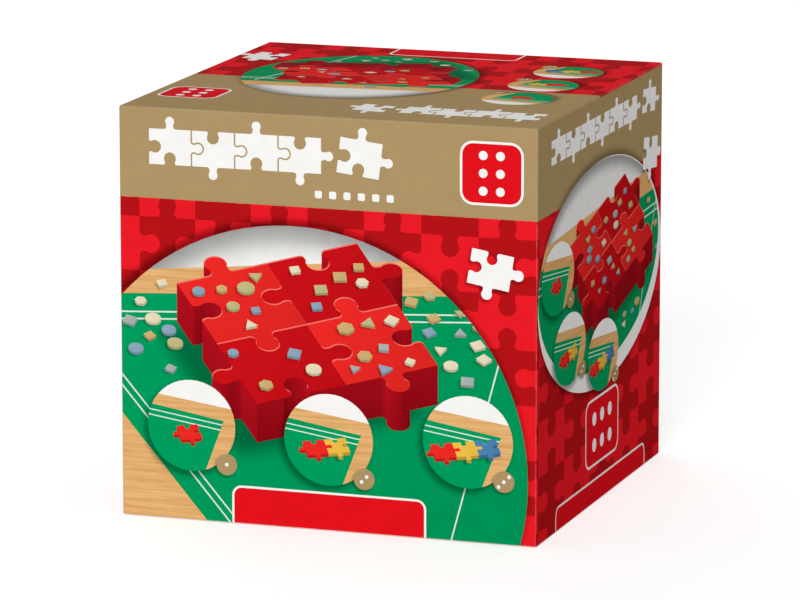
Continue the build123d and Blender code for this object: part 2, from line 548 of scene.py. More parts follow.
def paintSlabs(art, pieces, thick, clips=()):
    # thick flat pieces lying side by side, given as (ink, outline): first their edges, then their faces
    for number, (_, outline) in enumerate(pieces):
        others = [other for k, (_, other) in enumerate(pieces) if k != number]
        for (ax, ay), (bx, by) in zip(outline, outline[1:] + outline[:1]):
            below = ((ax + bx) / 2, (ay + by) / 2 - block["under"])
            if bx > ax and all(insideBy(below, other) < 0 for other in others):
                shade = block["slant"] * (by - ay) / hypot(bx - ax, by - ay)
                paint(art, "blockSide", [(ax, ay), (bx, by), (bx, by - thick), (ax, ay - thick)], clips,
                      tone=((ax, ay, 1.0 - shade), (ax, ay - thick, block["foot"] - shade)))
    for ink, outline in pieces:
        lows, highs = [[f(p[k] for p in outline) for k in (0, 1)] for f in (min, max)]
        rim = paint(art, "blockShine", outline, clips)
        paint(art, ink, moved(outline, block["shine"]), (*clips, rim),
              tone=((lows[0], highs[1], block["light"][0]), (highs[0], lows[1], block["light"][1])))


def paintBlock(art, place, turn, size, stretch, clips):
    # four big jigsaw pieces, joined, as one thick block on the table; returns their outlines
    pieces = []
    for column in (0, 1):
        for row in (1, 0):
            tabs = (1, -1, 1, -1) if (column + row) % 2 else (-1, 1, -1, 1)
            outline = jigsawPiece((block["cell"],) * 2, tabs, block["reach"])
            outline = moved(outline, ((column - 0.5) * block["cell"], (row - 0.5) * block["cell"]))
            ink = "blockRed" if (column + row) % 2 else "blockDeep"
            pieces.append((ink, moved(stretched(laid(outline, (0, 0), turn, size), stretch), place)))
    dark = laid(roundedBox((0, 0), (block["shadowSide"],) * 2, block["shadowCorner"]), (0, 0), turn, size)
    spot = (place[0] + block["shadow"][0] * size, place[1] + block["shadow"][1] * size)
    light, full, depth = block["shade"]
    paintShadow(art, moved(stretched(dark, stretch), spot), light * size, full * size, depth, clips)
    paintSlabs(art, pieces, block["thick"] * size, clips)
    return [outline for _, outline in pieces]


counters = {
    "inks": ["counterCream", "counterSand", "counterGrey", "counterOlive", "counterBlue"],
    "sides": [3, 4, 4, 6, 16],   # 16 is drawn round
    "radii": (3.0, 4.6),         # mm
    "thick": 1.1,
    "space": 10.5,               # mm between two middles
    "margin": 1.0,               # mm to the edge of whatever they lie on
    "onBlock": 0.8,              # the part of that reach that is enough on the block
    "shadow": (-0.9, -1.6),
    "shade": (-0.7, 0.7, 0.5),
    "light": (1.12, 0.88),       # tones at the upper left and lower right
    "edge": 0.62,                # tone of the edge below the face
    "tries": 2500,
    "seed": 5,
}


def counterSpots(dice, plan, tops):
    # places picked by chance on the block's faces and the table, clear of each other and the medallions
    wanted, horizon, stretch = plan["counters"], plan["horizon"], plan["pictureStretch"]
    centre, radii, size = wanted["centre"], wanted["radii"], wanted["size"]
    thick = block["thick"] * plan["block"]["size"]
    clear = plan["medallion"] + plan["medallionRoom"]
    reach = (counters["radii"][1] + counters["margin"]) * size * stretch[0]
    (ax, ay), (bx, by) = horizon
    placed = []
    for _ in range(counters["tries"]):
        turn, far = dice.uniform(0, 2 * pi), dice.uniform(0.0, 1) ** 0.5
        x, y = centre[0] + radii[0] * far * cos(turn), centre[1] + radii[1] * far * sin(turn)
        if len(placed) == wanted["count"]:
            break
        if any(hypot((x - px) / stretch[0], (y - py) / sheet["tableView"]) < counters["space"] * size
               for px, py in placed):
            continue
        if any(hypot((x - px) / stretch[0], y - py) < clear for px, py in plan["medallions"]):
            continue
        on = max(insideBy((x, y), top) for top in tops)
        beside = max(insideBy((x, y + thick * k), top) for top in tops for k in (0, 0.5, 1))
        onTable = y + reach < ay + (x - ax) * (by - ay) / (bx - ax)
        if on > reach * counters["onBlock"] or beside < -reach and onTable:
            placed.append((x, y))
    return placed


def paintCounters(art, plan, tops, clips):
    # loose round, square, three-sided and six-sided counters, the far ones first
    dice = random.Random(counters["seed"])
    size = plan["counters"]["size"]
    for x, y in sorted(counterSpots(dice, plan, tops), key=lambda spot: -spot[1]):
        radius = dice.uniform(*counters["radii"]) * size
        shape = laid(disc((0, 0), radius, dice.choice(counters["sides"])), (0, 0), dice.uniform(0, 360))
        shape = moved(stretched(shape, plan["pictureStretch"]), (x, y))
        ink = dice.choice(counters["inks"])
        shadow = (counters["shadow"][0] * size, counters["shadow"][1] * size)
        paintShadow(art, moved(shape, shadow), *counters["shade"], clips, 1)
        paint(art, ink, moved(shape, (0, -counters["thick"] * size)), clips, tone=counters["edge"])
        paint(art, ink, shape, clips, tone=((x - radius, y + radius, counters["light"][0]),
                                            (x + radius, y - radius, counters["light"][1])))


medallion = {
    "pieces": ["blockRed", "pieceYellow", "pieceBlue"],
    "drawn": 24.0,       # the radius for which the table in it is drawn
    "tilt": -8.0,        # degrees
    "table": [(-60, -60), (60, -60), (60, 13), (-60, 13)],
    "mat": [(-60, -60), (2, -60), (17, 6), (-60, 8)],
    "lines": [[(-60, 4.4), (60, 3.4)], [(-60, 1.6), (60, 0.6)]],
    "lineWidth": 0.6,
    "shadow": (-1.6, -2.0),
    "shade": (-3.0, 2.0, 0.6),
    "turn": 14.0,        # degrees, of the row of pieces
    "tabs": 0.27,        # how far they stand out, in sides of a piece
    "pieceShadow": (-1.0, -1.6),    # in thicknesses of a piece
    "pieceShade": (-0.7, 0.7, 0.5),
    "pieceEdge": 0.6,    # tone of a piece's edge below its face
    "light": (1.1, 0.9),
    "lightSlant": 4.0,   # mm that it comes from above the middle
    "tagShadow": (-0.6, -0.8),
    "tagShade": (-1.2, 0.8, 0.55),
    "piece": 0.5,        # the shares that follow are of the radius
    "place": (-0.05, -0.15),
    "thick": 0.065,
    "tag": 0.235,
    "tagOut": 0.80,
    "pip": 0.042,
    "pipStep": 0.115,
}


def paintMedallion(art, centre, radius, count, stretch):
    # a round inset with one, two or three joined pieces, and as many pips on its tag
    def put(outline, place=(0, 0)):
        return moved(stretched(moved(outline, place), stretch), centre)

    def tilted(outline):
        return put(moved(outline, (0, 0), medallion["tilt"], radius / medallion["drawn"]))

    paintShadow(art, put(disc(medallion["shadow"], radius)), *medallion["shade"])
    window = paint(art, "paperWhite", put(disc((0, 0), radius)))
    paint(art, "wood", tilted(medallion["table"]), (window,))
    cloth = paint(art, "matGreen", tilted(medallion["mat"]), (window,))
    for line in medallion["lines"]:
        paint(art, "matLine", tilted(stroke(line, medallion["lineWidth"])), (window, cloth))

    side, thick = radius * medallion["piece"], radius * medallion["thick"]
    place = (radius * medallion["place"][0], radius * medallion["place"][1])
    pieces = []
    for k in range(count):
        tabs = (1, 1 if k < count - 1 else -1, -1, -1 if k else 1)
        outline = moved(jigsawPiece((side, side), tabs, side * medallion["tabs"]),
                        ((k - (count - 1) / 2) * side, 0))
        pieces.append((medallion["pieces"][k], laid(outline, place, medallion["turn"])))
    shadow = (thick * medallion["pieceShadow"][0], thick * medallion["pieceShadow"][1])
    for _, outline in pieces:
        paintShadow(art, put(outline, shadow), *medallion["pieceShade"], (window,), 1)
    for ink, outline in pieces:
        paint(art, ink, put(outline, (0, -thick)), (window,), tone=medallion["pieceEdge"])
    (left, right), slant = medallion["light"], medallion["lightSlant"]
    light = ((centre[0] - radius, centre[1] + slant, left), (centre[0] + radius, centre[1] - slant, right))
    for ink, outline in pieces:
        paint(art, ink, put(outline), (window,), tone=light)

    x, y = radius * medallion["tagOut"], -radius * medallion["tagOut"]
    tag = disc((x, y), radius * medallion["tag"])
    paintShadow(art, put(tag, medallion["tagShadow"]), *medallion["tagShade"], (), 1)
    paint(art, "bandTan", put(tag))
    for k in range(count):
        step = radius * medallion["pipStep"] * (k - (count - 1) / 2)
        paint(art, "paperWhite", put(disc((x + step, y + step), radius * medallion["pip"])))


loosePiece = {
    "reach": 0.36,       # how far its tabs stand out, as a share of its height
    "shadow": (-0.8, -1.0),
    "shade": (-1.6, 0.8, 0.5),
}
pieceRow = {
    "reach": 0.34,
    "gap": 0.38,         # mm that each piece is drawn smaller all round
    "apart": 1.8,        # mm more between the last two
    "lean": -7.0,        # degrees that the last one is turned
}


def paintLoosePiece(art, place, turn, size):
    # a bare white jigsaw piece
    outline = moved(jigsawPiece(size, (1, 1, -1, -1), size[1] * loosePiece["reach"]), place, turn)
    paintShadow(art, moved(outline, loosePiece["shadow"]), *loosePiece["shade"])
    paint(art, "paperWhite", outline)


def paintPieceRow(art, low, size, count, stretch):
    # a row of white jigsaw pieces, the last one not yet pushed home
    reach = size[1] * pieceRow["reach"]
    for k in range(count):
        last = k == count - 1
        piece = jigsawPiece(size, (1, 1, -1, -1) if k % 2 else (-1, 1, 1, -1), reach)
        place = ((k + 0.5) * size[0] + (reach + pieceRow["apart"] if last else 0), size[1] / 2)
        piece = moved(grown(piece, -pieceRow["gap"]), place, pieceRow["lean"] if last else 0)
        paint(art, "paperWhite", moved(stretched(piece, stretch), low))


def paintSquares(art, last, step, size, radius, count):
    # a row of small white squares, from the right
    for k in range(count):
        paint(art, "paperWhite", roundedBox((last[0] - step * k, last[1]), (size, size), radius))


plate = {
    "radius": 6.5,
    "line": 1.2,
    "pip": 0.26,         # its radius, in steps from pip to pip
    "margin": 0.6,       # in the same steps, to both sides together
}
tab = {
    "radius": 5.0,
    "line": 1.1,
    "below": 30.0,       # mm that it runs on below its lower end
}


def paintPlate(art, centre, size, columns, rows):
    # a red plate in a white outline, with plain pips
    for ink, inset in (("paperWhite", 0.0), ("plateRed", plate["line"])):
        inner = (size[0] - 2 * inset, size[1] - 2 * inset)
        paint(art, ink, roundedBox(centre, inner, plate["radius"] - inset))
    step = min(size[0] / (columns + plate["margin"]), size[1] / (rows + plate["margin"]))
    for column in range(columns):
        for row in range(rows):
            across, up = column - (columns - 1) / 2, row - (rows - 1) / 2
            spot = (centre[0] + across * step, centre[1] + up * step)
            paint(art, "paperWhite", disc(spot, step * plate["pip"]))


def paintTab(art, middle, width, low, high):
    # an outlined red tab that stands on the lower edge
    for ink, inset in (("paperWhite", 0.0), ("plateRed", tab["line"])):
        size = (width - 2 * inset, high - low + tab["below"] - inset)
        paint(art, ink, roundedBox((middle, high - inset - size[1] / 2), size, tab["radius"] - inset))


frontPlan = {
    "stretch": (1.0, 1.0),           # how much wider and higher the ground and the row of pieces are drawn
    "pictureStretch": (1.0, 1.0),    # and the block, the counters and the medallions
    "cell": (28.5, 26.5),            # one piece of the jigsaw ground
    "cellMiddle": (90.4, 135.0),     # the middle of one of the deeper ones
    "bandLow": 157.4,                # the plain band covers the panel from here up
    "window": ((-17.0, 30.0), (118.0, 118.0)),
    "shadow": (-1.5, 1.0),
    "shade": (-4.5, 0.5, 0.6),
    "wallShade": 17.0,               # how far the shade on the wall reaches in from the window's rim
    "horizon": ((-140, 118), (120, 142)),
    "mat": [(-140, 92), (-52, -10), (150, -10), (150, 123.7), (-140, 108)],
    "lines": [[(-140, 99), (150, 114.7)], [(-140, 95.5), (150, 111.2)], [(-133.2, 97.9), (-45.2, -4.1)],
              [(-130.5, 100.2), (-42.5, -1.8)], [(60, -10), (92, 109)]],
    "block": {"place": (-10, 101), "turn": 24, "size": 1.0},
    "counters": {"centre": (-10, 96), "radii": (92, 42), "count": 46, "size": 1.0},
    "medallions": [(-69.0, 47.0), (1.0, 45.0), (71.0, 49.0)],
    "medallion": 22.5,
    "medallionRoom": 6.0,            # kept clear of counters round each of them
    "loosePiece": {"place": (82, 133), "turn": -9, "size": (21, 17)},
    "pieceRow": {"low": (-90, 173.6), "size": (22.0, 18.0), "count": 5},
    "squares": {"last": (32.2, 164.0), "step": 7.2, "size": 3.6, "radius": 0.8, "count": 6},
    "plate": {"centre": (82.5, 178.9), "size": (31.5, 30.6), "columns": 2, "rows": 3},
    "tab": {"middle": 1, "width": 98.6, "low": 0, "high": 19.3},
}
sidePlan = {
    "stretch": (1.5, 1.0),           # the side's print is like the front's, pulled wide
    "pictureStretch": (1.5, 1.0),
    "cell": (28.0, 26.5),
    "cellMiddle": (2.0, 20.0),
    "bandLow": 157.4,
    "window": ((-2, 118), (101.5, 51.3)),
    "rim": ((0, 113.5), (104.0, 56.0)),
    "shadow": (-1, 0.5),
    "shade": (-5.0, 0.5, 0.55),
    "wallShade": 9.0,
    "horizon": ((-140, 140), (140, 154)),
    "mat": [(-140, 60), (-60, 40), (150, 40), (150, 142), (-140, 131)],
    "lines": [[(-140, 123), (150, 134)], [(-140, 119.5), (150, 130.5)], [(40, 30), (96, 136)]],
    "block": {"place": (17, 126), "turn": 28, "size": 0.72},
    "counters": {"centre": (18, 114), "radii": (80, 36), "count": 30, "size": 0.7},
    "medallions": [(-72.0, 124.0), (-52.0, 86.0), (4.0, 72.0)],
    "medallion": 17.5,
    "medallionRoom": 5.0,
    "loosePiece": {"place": (84, 159), "turn": -6, "size": (25, 16)},
    "pieceRow": {"low": (-84, 179.8), "size": (16.0, 12.6), "count": 7},
    "plate": {"centre": (3, 36), "size": (56, 34), "columns": 3, "rows": 2},
    "tab": {"middle": 2, "width": 152, "low": 0, "high": 12.5},
}
topPlan = {
    "stretch": (1.0, 1.5),
    "pictureStretch": (1.0, 1.0),
    "cell": (28.5, 26.5),
    "cellMiddle": (0.0, -46.0),
    "bandLow": 4.0,
    "window": ((24, -14), (58, 66)),
    "shadow": (-1.5, 0),
    "shade": (-4.5, 0.5, 0.55),
    "wallShade": 11.0,
    "horizon": ((-60, 16), (110, 30)),
    "mat": [(-60, -90), (-20, -110), (110, -110), (110, 18), (-60, 6)],
    "lines": [[(-60, -2), (110, 10)], [(-60, -5.5), (110, 6.5)], [(40, -100), (70, 12)]],
    "block": {"place": (24, -16), "turn": 24, "size": 0.78},
    "counters": {"centre": (22, -26), "radii": (50, 48), "count": 26, "size": 0.8},
    "medallions": [(-70, 26), (-70, -16), (-70, -58)],
    "medallion": 17.5,
    "medallionRoom": 5.0,
    "loosePiece": {"place": (90, -60), "turn": 80, "size": (21, 17)},
    "pieceRow": {"low": (-98, 64), "size": (17.5, 12.5), "count": 5},
    "plate": {"centre": (84, 58), "size": (31.0, 31.0), "columns": 2, "rows": 3},
    "tab": {"middle": 0, "width": 68, "low": -105, "high": -84},
}


def panelArt(plan, low, high):
    # one panel, painted from its ground up
    art = []
    outline = oval(*plan["window"])
    rim = oval(*plan["rim"]) if "rim" in plan else outline
    bleed = sheet["bleed"]
    paintLattice(art, plan, low, (high[0], plan["bandLow"]), rim)
    paint(art, "bandTan", box((low[0] - bleed, plan["bandLow"]), (high[0] + bleed, high[1] + bleed)))
    paintShadow(art, moved(rim, plan["shadow"]), *plan["shade"])
    if "rim" in plan:
        paint(art, "paperWhite", rim)
    window = paintTable(art, outline, plan)
    tops = paintBlock(art, **plan["block"], stretch=plan["pictureStretch"], clips=(window,))
    paintCounters(art, plan, tops, (window,))
    for count, spot in enumerate(plan["medallions"], 1):
        paintMedallion(art, spot, plan["medallion"], count, plan["pictureStretch"])
    paintLoosePiece(art, **plan["loosePiece"])
    paintPieceRow(art, **plan["pieceRow"], stretch=plan["stretch"])
    if "squares" in plan:
        paintSquares(art, **plan["squares"])
    paintPlate(art, **plan["plate"])
    paintTab(art, **plan["tab"])
    return art


# The lid's printed cover: five panels bent round the folds, then the hem, the turn-in and the sheet's back

cover = {
    "cornerRadius": 1.1,
    "topRadius": 1.0,
    "foldRadius": 0.4,
    "leastRadius": 0.3,   # of an upright corner, inside
    "paper": 0.2,
    "wall": 2.0,          # from the print to the turned-in paper
    "turnIn": 15.0,
    "liningIn": 2.0,      # from the walls' back to the flat lining of the top
    "cornerSteps": 6,     # in a quarter turn
    "topSteps": 4,
    "join": 0.001,        # mm, points nearer than this are one
    "seam": 0.02,         # mm, how far off a panel's open edge its neighbour's points may lie
    "bakePitch": 214.0,   # mm between the middles of two panels on the unfolded sheet
}
coverLow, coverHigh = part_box("lid_cover")
coverHalf, coverTop, coverLift = coverHigh.x / mm, coverHigh.z / mm, coverLow.z / mm
straight = coverHalf - cover["cornerRadius"]


def onWall(x, y, quarter):
    # a point of a flat panel, x from its middle and y above the table, carried round to its wall
    bend = max(abs(x) - straight, 0) / cover["cornerRadius"]
    across = copysign(min(abs(x), straight) + cover["cornerRadius"] * sin(bend), x)
    out = coverHalf - cover["cornerRadius"] * (1 - cos(bend))
    return [(across, -out, y), (out, across, y), (-across, out, y), (-out, -across, y)][quarter]


def onTop(x, y):
    # the top panel reads from the back, and its edge bends down into the walls
    core = [max(-straight, min(straight, -v)) for v in (x, y)]
    off = Vector((-x - core[0], -y - core[1]))
    flat = cover["cornerRadius"] - cover["topRadius"]
    if off.length <= flat:
        return (-x, -y, coverTop)
    bend = (off.length - flat) / cover["topRadius"]
    off = off.normalized() * (flat + cover["topRadius"] * sin(bend))
    return (core[0] + off.x, core[1] + off.y, coverTop - cover["topRadius"] * (1 - cos(bend)))


def coverNormal(co):
    # the true direction that the bent sheet faces at a point of its outside, in millimetres
    core = Vector([max(-straight, min(straight, v)) for v in co[:2]])
    off = Vector(co[:2]) - core
    rise = co[2] - (coverTop - cover["topRadius"])
    if rise <= 0:
        return Vector((*off.normalized(), 0))
    lean = max(off.length - (cover["cornerRadius"] - cover["topRadius"]), 0) if off.length else 0
    return Vector((*(off.normalized() * lean), rise)).normalized()


def unfolded(x, y, quarter):
    # where a point lies on the unfolded sheet, top in the middle, as shares of a picture three panels wide
    for _ in range(quarter):
        x, y = -y, x
    return (0.5 + x / cover["bakePitch"] / 3, 0.5 + y / cover["bakePitch"] / 3)


def layersOf(art, owners):
    # the uppermost inked shape that holds a triangle, and the shadows that lie over it
    shadows = []
    for number in sorted(owners, reverse=True):
        shape = art[number]
        if any(c not in owners for c in shape["clips"]):
            continue
        if shape["shadow"]:
            shadows.append(shape["shadow"])
        elif shape["ink"]:
            return shape, shadows


def cutPanel(art, panel, creases):
    # cuts a flat panel along every outline of its art; returns its points, and triangles with inks and tones
    art = [dict(ink="latticeRed", outline=panel, clips=(), tone=1.0, shadow=None)] + art
    points, faces, edges = [], [], []
    for outline in [shape["outline"] for shape in art]:
        faces.append(range(len(points), len(points) + len(outline)))
        points += outline
    for line in creases:
        edges += [(len(points) + k, len(points) + k + 1) for k in range(len(line) - 1)]
        points += line
    flat, _, triangles, _, _, owners = delaunay_2d_cdt(
        [Vector(p) for p in points], edges, [list(f) for f in faces], 0, 1e-5, True)
    depths = {}

    def toneAt(k, tone, shadows):
        # how light the ink is at a point: its own straight run of tone, times each shadow over it
        x, y = flat[k]
        if isinstance(tone, tuple):
            (ax, ay, first), (bx, by, last) = tone
            share = ((x - ax) * (bx - ax) + (y - ay) * (by - ay)) / ((bx - ax) ** 2 + (by - ay) ** 2)
            tone = first + (last - first) * max(0.0, min(1.0, share))
        for outline, light, dark, depth in shadows:
            key = k, id(outline)
            if key not in depths:
                depths[key] = insideBy((x, y), outline)
            share = max(0.0, min(1.0, (depths[key] - light) / (dark - light)))
            tone *= 1 - depth * share * share * (3 - 2 * share)
        return tone

    inked = []
    for triangle, owner in zip(triangles, owners):
        if 0 in owner:
            shape, shadows = layersOf(art, set(owner))
            inked.append((triangle, shape["ink"], [toneAt(k, shape["tone"], shadows) for k in triangle]))
    return flat, inked


def bendPanel(bm, slots, cut, carry, unfold):
    # puts a cut panel in its place on the box
    flat, inked = cut
    planMap = bm.loops.layers.uv[printedPaper["planMap"]]
    bakeMap = bm.loops.layers.uv[printedPaper["bakeMap"]]
    toneMap = bm.loops.layers.float[printedPaper["toneMap"]]
    corners = {}
    for triangle, ink, tones in inked:
        for k in triangle:
            if k not in corners:
                corners[k] = bm.verts.new(carry(*flat[k]))
        face = bm.faces.new([corners[k] for k in triangle])
        face.smooth = True
        face.material_index = slots.setdefault(ink, len(slots))
        for loop, k, tone in zip(face.loops, triangle, tones):
            loop[planMap].uv = flat[k] * mm
            loop[bakeMap].uv = unfold(*flat[k])
            loop[toneMap] = tone


def addPanels(bm, slots):
    # the sheet's outside: four walls with half a fold at each end, and the top with its folds all round
    corner, steps = cover["cornerRadius"], cover["cornerSteps"]
    panelHalf = straight + corner * pi / 4
    low, high = coverLift + cover["foldRadius"], coverTop - cover["topRadius"]
    bends = [straight + corner * pi / 2 * k / steps for k in range(steps // 2)]
    creases = [[(side * x, low), (side * x, high)] for x in bends for side in (-1, 1)]
    panel = box((-panelHalf, low), (panelHalf, high))
    walls = [cutPanel(panelArt(plan, (-coverHalf, 0), (coverHalf, coverTop)), panel, creases)
             for plan in (frontPlan, sidePlan)]
    for quarter in range(4):
        bendPanel(bm, slots, walls[quarter % 2], lambda x, y: onWall(x, y, quarter),
                  lambda x, y: unfolded(x, y - coverTop / 2 - cover["bakePitch"], quarter))

    flat, loops = corner - cover["topRadius"], []
    for k in range(cover["topSteps"] + 1):
        out = flat + cover["topRadius"] * pi / 2 * k / cover["topSteps"]
        loops.append(roundedBox((0, 0), (2 * (straight + out),) * 2, out, steps))
    top = panelArt(topPlan, (-coverHalf, -coverHalf), (coverHalf, coverHalf))
    bendPanel(bm, slots, cutPanel(top, loops[-1], [loop + loop[:1] for loop in loops[:-1]]), onTop,
              lambda x, y: unfolded(x, y, 2))


def skinRings(bm, section, radiusAt, steps):
    # joins level rounded squares, each (half its side, z); returns the loops, and the faces of each gap
    loops = [[bm.verts.new((*p, z)) for p in roundedBox((0, 0), (2 * half,) * 2, radiusAt(half), steps)]
             for half, z in section]
    bands = []
    for lower, upper in zip(loops, loops[1:]):
        count = len(lower)
        bands.append([bm.faces.new((lower[k], lower[(k + 1) % count], upper[(k + 1) % count], upper[k]))
                      for k in range(count)])
    return loops, bands


backMap = {              # the unfolded sheet's back, a wall in each corner of the picture
    "edge": 5.0,         # mm that stay free round it
    "facet": 0.5,        # mm for each facet of an upright corner
    "shorter": 0.6,      # what is left of the heights
    "lining": 0.2,       # and of the top's back
    "liningUp": -0.65,   # where that lies, in panels above the middle
}


def addBack(bm, slots):
    # the hem, the turned-in paper and the sheet's back
    bakeMap = bm.loops.layers.uv[printedPaper["bakeMap"]]
    toneMap = bm.loops.layers.float[printedPaper["toneMap"]]
    corner, steps, paper, pitch = (cover[k] for k in ("cornerRadius", "cornerSteps", "paper", "bakePitch"))
    mouth, turnTop = coverHalf - cover["wall"], coverLift + cover["turnIn"]
    section = roundedPath([
        (coverHalf, coverLift + cover["foldRadius"] * 2, 0),
        (coverHalf, coverLift, cover["foldRadius"]),
        (mouth, coverLift, cover["foldRadius"]),
        (mouth, turnTop, 0),
        (mouth + paper, turnTop, 0),
        (mouth + paper, coverLift + paper, 0),
        (coverHalf - paper, coverLift + paper, 0),
        (coverHalf - paper, coverTop - paper, cover["topRadius"] - paper),
        (coverHalf - paper - cover["liningIn"], coverTop - paper, 0),
    ])[1:]
    loops, bands = skinRings(
        bm, section, lambda half: max(corner - (coverHalf - half), cover["leastRadius"]), steps)
    lining = bm.faces.new(loops[-1])
    lining.material_index = slots.setdefault("artPaperBack", len(slots))
    for loop in lining.loops:
        x, y = (v * backMap["lining"] for v in loop.vert.co[:2])
        loop[bakeMap].uv = unfolded(pitch + x, pitch * backMap["liningUp"] + y, 0)
    along = 0.0
    for band, (half, z), (nextHalf, nextZ) in zip(bands, section, section[1:]):
        ahead = along + hypot(nextHalf - half, nextZ - z)
        printed = nextHalf < coverHalf - paper and nextZ <= turnTop
        for k, face in enumerate(band):
            quarter, step = divmod(k, steps + 1)
            left = step * backMap["facet"]
            right = pitch - 2 * backMap["edge"] if step == steps else left + backMap["facet"]
            face.material_index = slots.setdefault("latticeRed" if printed else "artPaperBack", len(slots))
            for loop, (x, y) in zip(face.loops, box((left, along), (right, ahead))):
                across = pitch / 2 + backMap["edge"] + x
                up = -pitch * 1.5 + backMap["edge"] + y * backMap["shorter"]
                loop[toneMap] = 1.0
                loop[bakeMap].uv = unfolded(across, up, quarter)
        along = ahead


def closeSeams(bm):
    # splits each open edge wherever the panel beside it has a point, then joins the two sides
    join, seam = cover["join"] * mm, cover["seam"] * mm
    bmesh.ops.remove_doubles(bm, verts=bm.verts, dist=join)
    rim = [v for v in bm.verts if v.is_boundary]
    tree = KDTree(len(rim))
    for k, vert in enumerate(rim):
        tree.insert(vert.co, k)
    tree.balance()
    for edge in [e for e in bm.edges if e.is_boundary]:
        start, end = edge.verts
        run = end.co - start.co
        found = []
        for co, _, _ in tree.find_range((start.co + end.co) / 2, run.length / 2):
            share = (co - start.co).dot(run) / run.length_squared
            off = (start.co + run * share - co).length
            if join < share * run.length < run.length - join and off < seam:
                found.append((share, co.copy()))
        last, done = start, 0.0
        for share, co in sorted(found, key=lambda item: item[0]):
            if share - done < 1e-9:  # the same place once more
                continue
            _, new = bmesh.utils.edge_split(edge, last, (share - done) / (1 - done))
            new.co = co
            edge = next(e for e in new.link_edges if e.other_vert(new) == end)
            last, done = new, share
    bmesh.ops.remove_doubles(bm, verts=bm.verts, dist=join)
    return sum(e.is_boundary for e in bm.edges)


def coverMaterial(name):
    if name == "artPaperBack":
        return rawPaper(name)
    return printedInk("offsetInk_" + name, inkColours[name], woodGrain if name == "wood" else None)


def makeCover():
    bm = bmesh.new()
    bm.loops.layers.uv.new(printedPaper["planMap"])
    bm.loops.layers.uv.new(printedPaper["bakeMap"])
    bm.loops.layers.float.new(printedPaper["toneMap"])
    slots = {}
    addPanels(bm, slots)
    printed = len(bm.faces)
    addBack(bm, slots)
    for vert in bm.verts:
        vert.co *= mm
    left = closeSeams(bm)
    print("cover:", printed, "printed faces,", len(bm.faces), "in all,", left, "open edges")

    mesh = bpy.data.meshes.new("printedCover")
    bm.to_mesh(mesh)
    bm.free()
    for name in slots:
        mesh.materials.append(coverMaterial(name))
    normals = [None] * len(mesh.loops)
    for face in mesh.polygons:
        for k in face.loop_indices:
            spot = mesh.vertices[mesh.loops[k].vertex_index].co / mm
            normals[k] = coverNormal(spot) if face.use_smooth else face.normal
    mesh.normals_split_custom_set(normals)
    return mesh


printedCover = bpy.data.objects.new("printed_cover", makeCover())
bpy.context.scene.collection.objects.link(printedCover)
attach(printedCover, "lid")
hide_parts("lid_cover")


# Trays

tray = {
    "corner": 22.0,
    "draft": 2.5,         # degrees
    "rim": 2.6,
    "rimOut": 0.8,        # radii of the rim's edges
    "rimIn": 0.6,
    "floor": 1.8,
    "cove": 6.0,
    "nest": 4.0,
    "play": 0.4,
    "seat": 0.03,         # a hair between a shoulder and the rim below, so that they share no plane
    "shoulderEdge": 0.5,  # radii of the edges below
    "shoulderRoot": 0.25,
    "footRing": 8.0,
    "footRecess": 0.8,
    "footEdge": 0.8,
    "ringEdge": 0.3,
    "steps": 14,          # in a corner's quarter turn
    "edgeSteps": 5,
    "sharp": 40.0,        # degrees from which an edge looks sharp
}


def makeTray():
    low, high = (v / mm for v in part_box("tray_1"))
    rimOut, height = high.x, high.z - low.z
    lean = tan(radians(tray["draft"]))
    rimIn = rimOut - tray["rim"]
    recess, floorTop = tray["footRecess"], tray["footRecess"] + tray["floor"]
    footHigh = rimIn - tray["play"]
    footLow = footHigh - tray["nest"] * lean
    ringIn = footLow - tray["footRing"]
    shoulder = tray["nest"] + tray["seat"]
    section = roundedPath([
        (ringIn - 2 * recess, recess, 0),
        (ringIn - recess, recess, tray["ringEdge"]),
        (ringIn, 0, tray["ringEdge"]),
        (footLow, 0, tray["footEdge"]),
        (footHigh, shoulder, tray["shoulderRoot"]),
        (rimOut - (height - shoulder) * lean, shoulder, tray["shoulderEdge"]),
        (rimOut, height, tray["rimOut"]),
        (rimIn, height, tray["rimIn"]),
        (rimIn - (height - floorTop) * lean, floorTop, tray["cove"]),
        (ringIn - 2 * recess, floorTop, 0),
    ], tray["edgeSteps"])
    bm = bmesh.new()
    loops, _ = skinRings(bm, section, lambda half: tray["corner"] - (rimOut - half), tray["steps"])
    bm.faces.new(loops[0][::-1])
    bm.faces.new(loops[-1])
    for vert in bm.verts:
        vert.co *= mm
    for face in bm.faces:
        face.smooth = True
    mesh = bpy.data.meshes.new("sortingTray")
    bm.to_mesh(mesh)
    bm.free()
    mesh.set_sharp_from_angle(angle=radians(tray["sharp"]))
    mesh.materials.append(mouldedStyrene("mouldedRedStyrene"))
    return mesh


trayMesh = makeTray()
trayNodes = sorted(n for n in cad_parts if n.startswith("tray_"))
for node in trayNodes:
    piece = bpy.data.objects.new("sorting_" + node, trayMesh)
    piece.location.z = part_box(node)[0].z
    bpy.context.scene.collection.objects.link(piece)
    weighted = piece.modifiers.new("faceWeighted", "WEIGHTED_NORMAL")
    weighted.keep_sharp = True
    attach(piece, node)
    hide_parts(node)
print("trays:", len(trayNodes))


# Board and paper of the box, on the construction's own pieces

